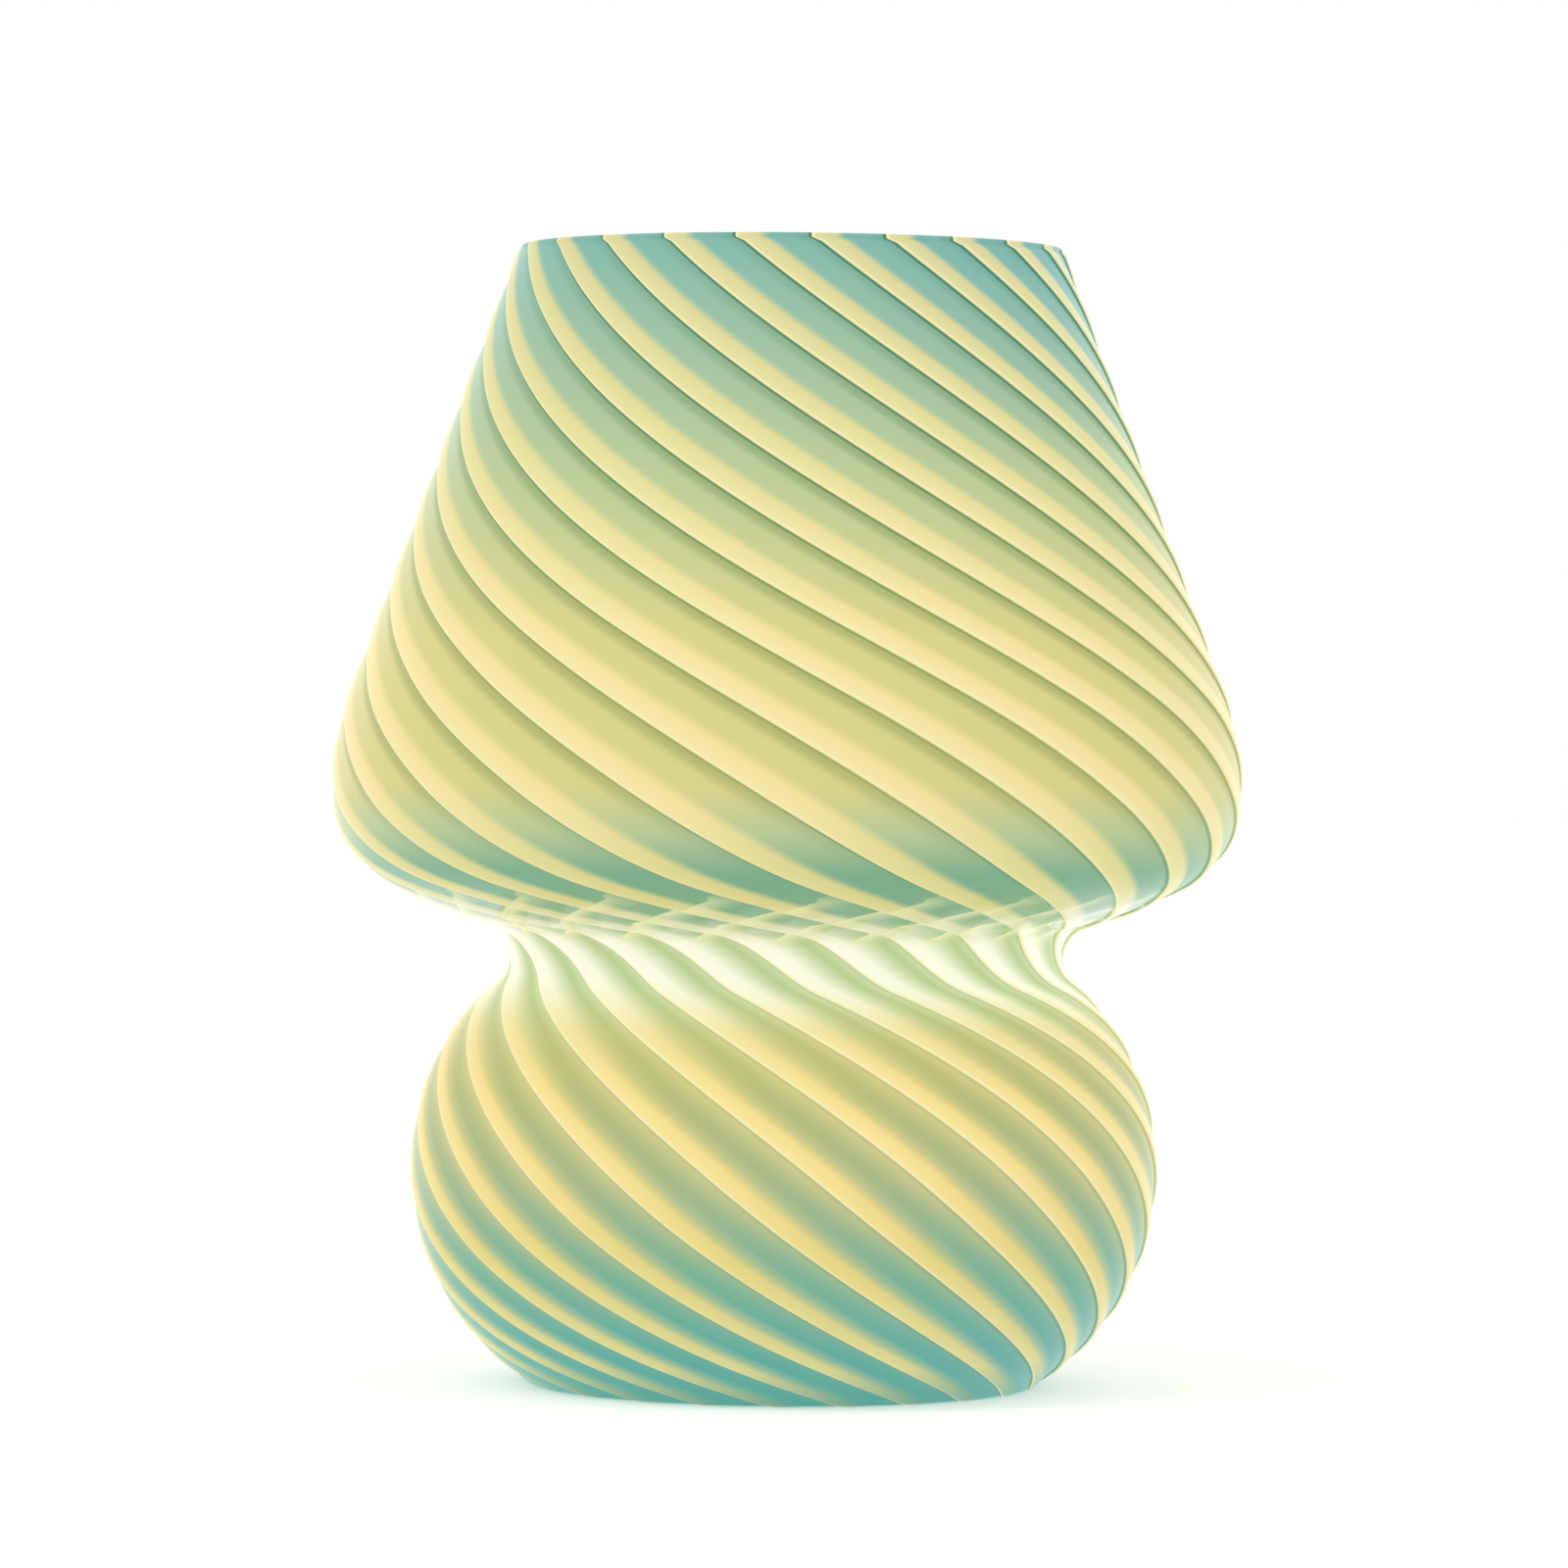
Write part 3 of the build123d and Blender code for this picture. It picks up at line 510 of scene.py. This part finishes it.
def frosted_diffuser(fittings):
    """Frosted polycarbonate globe, lit from inside: even light that fades towards the housing."""
    material, tree, shader = new_material("frosted polycarbonate", Roughness=0.45, IOR=1.58)
    low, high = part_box("bulb_globe")
    place = add_node(tree, "ShaderNodeTexCoord", output="Object")
    height = add_node(tree, "ShaderNodeSeparateXYZ", {0: place}, "Z")
    rise = add_node(tree, "ShaderNodeMapRange", {
        "Value": height, "From Min": low.z, "From Max": high.z,
    })
    light = add_node(tree, "ShaderNodeValToRGB", {0: rise}, stops=(
        (0.0, linear("#f0d9a8")), (0.35, fittings.diffuser),
    ))
    tree.links.new(light, shader.inputs["Emission Color"])
    shader.inputs["Emission Strength"].default_value = fittings.globe_light
    tree.links.new(clouds(tree, 4.0, linear("#6e6a62"), linear("#66635b")), shader.inputs["Base Color"])
    roughen(tree, shader, 0.3, 0.01, 0.3, 0.0)
    return material


def board_laminate():
    """Glass-cloth laminate under white resist, with the weave just showing at 0.5 mm."""
    material, tree, shader = new_material("glass-cloth laminate", Roughness=0.4, IOR=1.5)
    place = add_node(tree, "ShaderNodeTexCoord", output="Object")
    weave = add_node(tree, "ShaderNodeTexChecker", {"Vector": place, "Scale": 1 / (0.5 * MM)}, "Fac")
    tint = add_node(tree, "ShaderNodeMix", {
        0: weave, 6: linear("#e8e8e2"), 7: linear("#dedfd6"),
    }, 2, data_type="RGBA")
    tree.links.new(tint, shader.inputs["Base Color"])
    tree.links.new(add_node(tree, "ShaderNodeBump", {
        "Strength": 0.2, "Distance": 0.02 * MM, "Height": weave,
    }), shader.inputs["Normal"])
    return material


def phosphor_chip():
    """Light chip: a yellow phosphor gel in a white package, switched on."""
    material, tree, shader = new_material("phosphor gel", Roughness=0.3, IOR=1.45)
    tint = clouds(tree, 0.3, linear("#f2c94a"), linear("#e8b93a"))
    tree.links.new(tint, shader.inputs["Base Color"])
    tree.links.new(tint, shader.inputs["Emission Color"])
    shader.inputs["Emission Strength"].default_value = 0.6
    return material


def finish_nodes(names, material):
    """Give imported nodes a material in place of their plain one."""
    for name in names:
        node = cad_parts[name]
        if not node.material_slots:
            node.data.materials.append(material)
        for place in node.material_slots:
            place.material = material


def add_mesh(name, corners, faces, material, maps=None):
    """A smooth mesh object; each map has a name and one UV pair for each corner of each face."""
    mesh = bpy.data.meshes.new(name)
    mesh.from_pydata(corners, [], faces)
    for title, pairs in (maps or {}).items():
        layer = mesh.uv_layers.new(name=title)
        layer.data.foreach_set("uv", [value for pair in pairs for value in pair])
    mesh.shade_smooth()
    mesh.materials.append(material)
    made = bpy.data.objects.new(name, mesh)
    bpy.context.scene.collection.objects.link(made)
    return made


def follow_arc(outline, arc, step):
    """Carry the outline on along an arc of a radius and a turn, in steps of about a length."""
    radius, turn = arc[0] * MM, math.radians(arc[1])
    reach, height, heading = outline[-1]
    side = math.copysign(radius, turn)
    middle = (reach - side * math.sin(heading), height + side * math.cos(heading))
    count = max(3, math.ceil(abs(turn) * radius / min(step, radius * 0.12)))
    for i in range(1, count + 1):
        now = heading + turn * i / count
        outline.append((middle[0] + side * math.sin(now), middle[1] - side * math.cos(now), now))


def glass_outline(glass, step):
    """Radius, height and heading up the outside of the glass, from the foot's edge to the rim."""
    outline = [(glass.foot_radius, 0.0, 0.0)]
    for arc in (FOOT_ARC, BELLY_ARC, NECK_ARC, UNDERSIDE_ARC, SHOULDER_ARC, UPPER_ARC):
        follow_arc(outline, arc, step)
    reach, height, heading = outline[-1]
    side = (glass.height - height) / math.sin(heading)
    count = math.ceil(side / step)
    for i in range(1, count + 1):
        along = side * i / count
        outline.append((reach + along * math.cos(heading), height + along * math.sin(heading), heading))
    return outline


def rib_slope(share):
    """Sideways run of a rib over its way up the glass, at a share of the height."""
    for (low, lean_low), (high, lean_high) in zip(RIB_LEAN, RIB_LEAN[1:]):
        if share <= high:
            break
    lean = lean_low + (lean_high - lean_low) * (share - low) / (high - low)
    return math.tan(math.radians(lean))


def swirl_turns(outline, start):
    """Angle of the first crease at each point of the outline."""
    turns, height = [start], outline[-1][1]
    for (r0, z0, _), (r1, z1, _) in zip(outline, outline[1:]):
        step = math.hypot(r1 - r0, z1 - z0)
        turns.append(turns[-1] - rib_slope((z0 + z1) / 2 / height) * step / ((r0 + r1) / 2))
    return turns


def rib_height(part):
    """Height of a rib above its crease, 0 to 1: a sharp ridge, then a long fall to the next crease."""
    if part < RIB_EDGE:
        t = part / RIB_EDGE
        return t * t * (3 - 2 * t)
    fall = (part - RIB_EDGE) / (1 - RIB_EDGE)
    crown = 0.5 + 0.5 * math.cos(math.pi * min(1.0, fall / 0.55))
    return 0.6 * crown + 0.4 * (1 - fall) ** 0.8


def glass_rings(glass):
    """Rings round the glass: (radius, height, normal, turn, share of the ribs' relief)."""
    outline = glass_outline(glass, RING_STEP)
    turns = swirl_turns(outline, glass.start)
    rings = []
    for (reach, height, heading), turn in zip(outline[:-1], turns):
        # The ribs die out on the round of the foot
        share = min(1.0, RIB_AT_FOOT + height / RIB_WHOLE)
        rings.append((reach, height, (math.sin(heading), -math.cos(heading)), turn, share))
    # Fire-polished rim: both edges round, the ribs running over the outer one
    reach, top, heading = outline[-1]
    turn = turns[-1]
    for degrees in (0, 25, 50, 72, 90):
        out, up = math.cos(math.radians(degrees)), math.sin(math.radians(degrees))
        r, z = reach - RIM_ROUND * (1 - out), top - RIM_ROUND * (1 - up)
        rings.append((r, z, (out, up), turn, out * RIB_AT_RIM))
    # From here on the glass is smooth
    smooth = []
    inner = reach - glass.wall / math.sin(heading)
    for degrees in (90, 60, 30, 0):
        out, up = math.cos(math.radians(degrees)), math.sin(math.radians(degrees))
        smooth.append((inner + RIM_ROUND * (1 - out), top - RIM_ROUND * (1 - up), turn))
    # Inside wall, down to the round corner of the floor
    for (reach, height, heading), turn in list(zip(outline, turns))[-4::-2]:
        r = reach - glass.wall * math.sin(heading)
        z = height + glass.wall * math.cos(heading)
        if z < FLOOR_TOP + FLOOR_CORNER * 0.75:
            break
        smooth.append((r, z, turn))
    r, z, _ = smooth[-1]
    for part in (0.3, 0.6, 0.85, 1.0):
        drop = (z - FLOOR_TOP) * math.sin(part * math.pi / 2)
        smooth.append((r - FLOOR_CORNER * part**2, z - drop, turn))
    # Floor, tube hole, hollow under the base and flat foot ring
    smooth += [(reach, FLOOR_TOP, turn) for reach in (40 * MM, 30 * MM, 18 * MM, TUBE_HOLE)]
    smooth.append((TUBE_HOLE, (FLOOR_TOP + HOLLOW_TOP) / 2, turn))
    smooth += [(reach, HOLLOW_TOP, turn) for reach in (TUBE_HOLE, 14 * MM, HOLLOW_FLAT)]
    run = glass.hollow_radius - HOLLOW_FLAT
    bend = (run**2 + HOLLOW_TOP**2) / (2 * HOLLOW_TOP)
    for part in (0.2, 0.4, 0.6, 0.8, 1.0):
        x = run * part
        smooth.append((HOLLOW_FLAT + x, HOLLOW_TOP - bend + math.sqrt(bend**2 - x**2), turn))
    smooth.append(((glass.hollow_radius + glass.foot_radius) / 2, 0.0, turns[0]))
    return rings + [(reach, height, (0.0, 0.0), turn, 0.0) for reach, height, turn in smooth]


def facing_shift(rings, top, pitch):
    """For each ring, how far round, in ribs, the belly's rib lies that the ring looks down on."""
    fold = WAIST_SHARE * top
    belly = [(height, turn) for _, height, _, turn, share in rings if share > 0 and height < fold]
    shifts = []
    for _, height, _, turn, _ in rings:
        mirrored = fold - max(0.0, height - fold) * MIRROR_FALL
        nearest = min(belly, key=lambda place: abs(place[0] - mirrored))
        shifts.append((turn - nearest[1]) / pitch)
    return shifts


def blown_glass(glass, material):
    """The whole glass as one closed mesh, its columns following the ribs."""
    rings = glass_rings(glass)
    across = [k + part for k in range(glass.ribs) for part in COLUMNS]
    pitch = 2 * math.pi / glass.ribs
    corners = []
    for reach, height, normal, turn, share in rings:
        for u in across:
            sunk = (glass.relief * (1 - rib_height(u % 1.0)) + glass.inset) * share
            r = reach - normal[0] * sunk
            a = turn + pitch * u
            corners.append((r * math.sin(a), -r * math.cos(a), height - normal[1] * sunk))
    wide, tall = len(across), len(rings)
    faces, swirl, facing = [], [], []
    shift = facing_shift(rings, glass.height, pitch)
    ends = across + [glass.ribs + across[0]]
    for row in range(tall):
        above = (row + 1) % tall
        v0, v1 = rings[row][1] / glass.height, rings[above][1] / glass.height
        for column in range(wide):
            right = (column + 1) % wide
            faces.append((
                row * wide + column, row * wide + right, above * wide + right, above * wide + column,
            ))
            u0, u1 = ends[column], ends[column + 1]
            swirl += [(u0, v0), (u1, v0), (u1, v1), (u0, v1)]
            low, high = shift[row], shift[above]
            outer = 1.0 if rings[row][4] > 0 else 0.0
            facing += [(u0 + low, outer), (u1 + low, outer), (u1 + high, outer), (u0 + high, outer)]
    return add_mesh("swirled_glass", corners, faces, material, {"swirl": swirl, "facing": facing})


def drill(piece, centre, direction, radius, reach):
    """Cut a round hole right through a closed mesh."""
    bpy.ops.mesh.primitive_cylinder_add(vertices=64, radius=radius, depth=reach)
    cutter = bpy.context.object
    cutter.rotation_mode = "QUATERNION"
    cutter.rotation_quaternion = Vector(direction).to_track_quat("Z", "Y")
    cutter.location = Vector(centre) + Vector(direction) * reach / 2
    cut = piece.modifiers.new("hole", "BOOLEAN")
    cut.operation, cut.object, cut.solver = "DIFFERENCE", cutter, "MANIFOLD"
    graph = bpy.context.evaluated_depsgraph_get()
    drilled = bpy.data.meshes.new_from_object(
        piece.evaluated_get(graph), preserve_all_data_layers=True, depsgraph=graph
    )
    piece.modifiers.remove(cut)
    piece.data = drilled
    bpy.data.objects.remove(cutter)


def threaded_sleeve(name, sections, bore, pitch, depth, material, columns=72):
    """A sleeve with a rolled round thread.

    sections are (height, radius, share of thread) up the outside, in metres. bore works out the
    inner radius from the outer one, and the inside follows the thread.
    """
    wall = list(sections)
    wall += [(height, bore(radius), share) for height, radius, share in reversed(sections)]
    corners, faces = [], []
    for height, radius, share in wall:
        for column in range(columns):
            a = 2 * math.pi * column / columns
            wave = 0.5 + 0.5 * math.cos(2 * math.pi * height / pitch - a)
            r = radius - depth * share * (1 - wave)
            corners.append((r * math.cos(a), r * math.sin(a), height))
    for row in range(len(wall)):
        above = (row + 1) % len(wall)
        for column in range(columns):
            right = (column + 1) % columns
            faces.append((
                row * columns + column, row * columns + right,
                above * columns + right, above * columns + column,
            ))
    return add_mesh(name, corners, faces, material)


def thread_sections(low, high, radius, pitch):
    """Even sections up a thread, ten to a pitch, fading out over one pitch at each end."""
    count = math.ceil((high - low) / (pitch / 10))
    made = []
    for i in range(count + 1):
        z = low + (high - low) * i / count
        near = min(z - low, high - z) / pitch
        made.append((z, radius, max(0.0, min(1.0, near))))
    return made


class LAMP_OT_glass(bpy.types.Operator):
    """Blow the glass: one closed mesh with its swirled ribs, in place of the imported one"""

    bl_idname = "lamp.glass"
    bl_label = "Blown glass"

    def execute(self, context):
        glass = context.scene.lamp_glass
        piece = blown_glass(glass, opal_glass(glass))
        drill(piece, (0, 0, CORD_HOLE_HEIGHT), (0, 1, 0), CORD_HOLE_RADIUS, CORD_HOLE_REACH)
        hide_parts("glass_body")
        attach(piece, "lamp")
        return {"FINISHED"}


class LAMP_OT_rubber(bpy.types.Operator):
    """Finish the cord bush and the two gaskets in rubber"""

    bl_idname = "lamp.rubber"
    bl_label = "Rubber parts"

    def execute(self, context):
        finish_nodes(
            ("cord_grommet", "lower_gasket", "upper_gasket"),
            rubber(context.scene.lamp_fittings),
        )
        return {"FINISHED"}


class LAMP_OT_base(bpy.types.Operator):
    """Make the threaded tube and finish the steel parts that clamp the base"""

    bl_idname = "lamp.base"
    bl_label = "Base fittings"

    def execute(self, context):
        steel = zinc_steel(context.scene.lamp_fittings)
        finish_nodes(("tube_nuts", "base_washer", "support_dish", "grub_screw"), steel)
        low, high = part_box("threaded_tube")
        pitch, depth, bore = 1.0 * MM, 0.45 * MM, 3.5 * MM
        sections = thread_sections(low.z, high.z, high.x, pitch)
        tube = threaded_sleeve(
            "threaded_tube_M10", sections, lambda radius: bore, pitch, depth, steel, columns=48
        )
        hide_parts("threaded_tube")
        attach(tube, "lamp")
        return {"FINISHED"}


class LAMP_OT_holder(bpy.types.Operator):
    """Finish the bulb holder: its mouldings, its brass and its terminal screws"""

    bl_idname = "lamp.holder"
    bl_label = "Bulb holder"

    def execute(self, context):
        fittings = context.scene.lamp_fittings
        finish_nodes(
            ("holder_dome", "holder_skirt", "holder_core"), white_moulding(fittings)
        )
        finish_nodes(("centre_contact", "screw_shell"), rolled_brass(fittings))
        finish_nodes(("terminal_screws",), bpy.data.materials["zinc-plated steel"])
        return {"FINISHED"}


class LAMP_OT_bulb(bpy.types.Operator):
    """Finish the bulb and roll the thread of its cap"""

    bl_idname = "lamp.bulb"
    bl_label = "Bulb"

    def execute(self, context):
        fittings = context.scene.lamp_fittings
        low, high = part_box("bulb_cap")
        radius, pitch, depth, sheet = 6.75 * MM, 2.82 * MM, 0.55 * MM, 0.4 * MM
        collar, step = 1.5 * MM, 0.3 * MM
        sections = thread_sections(low.z, high.z - collar - step, radius, pitch)
        sections += [(high.z - collar, high.x, 0.0), (high.z, high.x, 0.0)]
        cap = threaded_sleeve(
            "bulb_cap_E14", sections, lambda r: r - sheet, pitch, depth, nickel_plate(fittings)
        )
        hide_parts("bulb_cap")
        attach(cap, "bulb")
        finish_nodes(("bulb_housing",), bpy.data.materials["moulded PBT"])
        finish_nodes(("bulb_globe",), frosted_diffuser(fittings))
        finish_nodes(("bulb_tip",), solder())
        finish_nodes(("bulb_insulator",), glass_insulator())
        finish_nodes(("led_board", "driver_board"), board_laminate())
        finish_nodes(("led_chips",), phosphor_chip())
        return {"FINISHED"}


def seen_ray(tree):
    """1 for the rays that show the background: the camera's, and those in a mirror or through glass."""
    seen = add_node(tree, "ShaderNodeLightPath", output="Is Camera Ray")
    path = seen.node
    for kind in ("Is Glossy Ray", "Is Transmission Ray"):
        seen = add_node(tree, "ShaderNodeMath", {0: seen, 1: path.outputs[kind]}, operation="MAXIMUM")
    return seen


def white_floor(stage):
    """Matt paper floor that camera, mirrors and glass see as white, with the lamp's shadow kept."""
    material, tree, shader = new_material("matt paper", Roughness=0.9)
    tree.links.new(clouds(tree, 40.0, stage.floor, linear("#eaeae8")), shader.inputs["Base Color"])
    shader.inputs["Emission Color"].default_value = (1.0, 1.0, 1.0, 1.0)
    tree.links.new(add_node(tree, "ShaderNodeMapRange", {
        "Value": seen_ray(tree), "To Min": 0.0, "To Max": stage.floor_lift,
    }), shader.inputs["Emission Strength"])
    return material


def area_light(name, place, target, size, watts):
    """A soft square light aimed at a point, kept out of reflections."""
    lamp = bpy.data.lights.new(name, "AREA")
    lamp.energy, lamp.size = watts, size
    made = bpy.data.objects.new(name, lamp)
    made.location = place
    made.visible_glossy = False
    made.rotation_mode = "QUATERNION"
    made.rotation_quaternion = (Vector(target) - Vector(place)).to_track_quat("-Z", "Y")
    bpy.context.scene.collection.objects.link(made)


class LAMP_OT_stage(bpy.types.Operator):
    """Set the floor, the even light, two soft lights and the camera"""

    bl_idname = "lamp.stage"
    bl_label = "Stage"

    def execute(self, context):
        scene, stage = context.scene, context.scene.lamp_stage
        half = 6.0
        corners = [(-half, -half, 0), (half, -half, 0), (half, half, 0), (-half, half, 0)]
        add_mesh("floor", corners, [(0, 1, 2, 3)], white_floor(stage))

        world = bpy.data.worlds.new("even white light")
        world.use_nodes = True
        tree = world.node_tree
        background = tree.nodes["Background"]
        background.inputs["Color"].default_value = (1.0, 1.0, 1.0, 1.0)
        tree.links.new(add_node(tree, "ShaderNodeMapRange", {
            "Value": seen_ray(tree), "To Min": stage.world_level, "To Max": 1.0,
        }), background.inputs["Strength"])
        scene.world = world
        middle, size = (0, 0, GLASS_HIGH.z / 2), 0.9
        key_place, fill_place = (-1.2, -1.0, 1.3), (1.3, -1.1, 0.9)
        area_light("key", key_place, middle, size, stage.key)
        area_light("fill", fill_place, middle, size, stage.fill)

        lens = bpy.data.cameras.new("camera")
        lens.sensor_width, lens.lens = 36.0, stage.lens
        lens.clip_start, lens.clip_end = 0.05, 20.0
        camera = bpy.data.objects.new("camera", lens)
        camera.location = (stage.camera_side, -stage.distance, stage.camera_height)
        camera.rotation_euler = (math.pi / 2 - stage.tilt, stage.roll, 0)
        scene.collection.objects.link(camera)
        scene.camera = camera
        scene.view_settings.view_transform = "Standard"
        return {"FINISHED"}


OPERATORS = (
    LAMP_OT_stage, LAMP_OT_glass, LAMP_OT_rubber, LAMP_OT_base, LAMP_OT_holder, LAMP_OT_bulb,
)


class LAMP_PT_parts(bpy.types.Panel):
    """Lists the lamp's operators with the sizes and colours that they use"""

    bl_label = "Lamp"
    bl_idname = "LAMP_PT_parts"
    bl_space_type = "VIEW_3D"
    bl_region_type = "UI"
    bl_category = "Lamp"

    def draw(self, context):
        for operator in OPERATORS:
            self.layout.operator(operator.bl_idname)
        for group in (context.scene.lamp_glass, context.scene.lamp_fittings, context.scene.lamp_stage):
            column = self.layout.column()
            for name in group.bl_rna.properties.keys():
                if name not in ("rna_type", "name"):
                    column.prop(group, name)


CLASSES = (LampGlass, LampFittings, LampStage, *OPERATORS, LAMP_PT_parts)


def register():
    for cls in CLASSES:
        bpy.utils.register_class(cls)
    bpy.types.Scene.lamp_glass = bpy.props.PointerProperty(type=LampGlass)
    bpy.types.Scene.lamp_fittings = bpy.props.PointerProperty(type=LampFittings)
    bpy.types.Scene.lamp_stage = bpy.props.PointerProperty(type=LampStage)


def unregister():
    del bpy.types.Scene.lamp_stage, bpy.types.Scene.lamp_fittings, bpy.types.Scene.lamp_glass
    for cls in reversed(CLASSES):
        bpy.utils.unregister_class(cls)


def main():
    """Register the classes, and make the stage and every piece."""
    register()
    for operator in OPERATORS:
        group, name = operator.bl_idname.split(".")
        getattr(getattr(bpy.ops, group), name)()


if __name__ == "__main__":
    main()
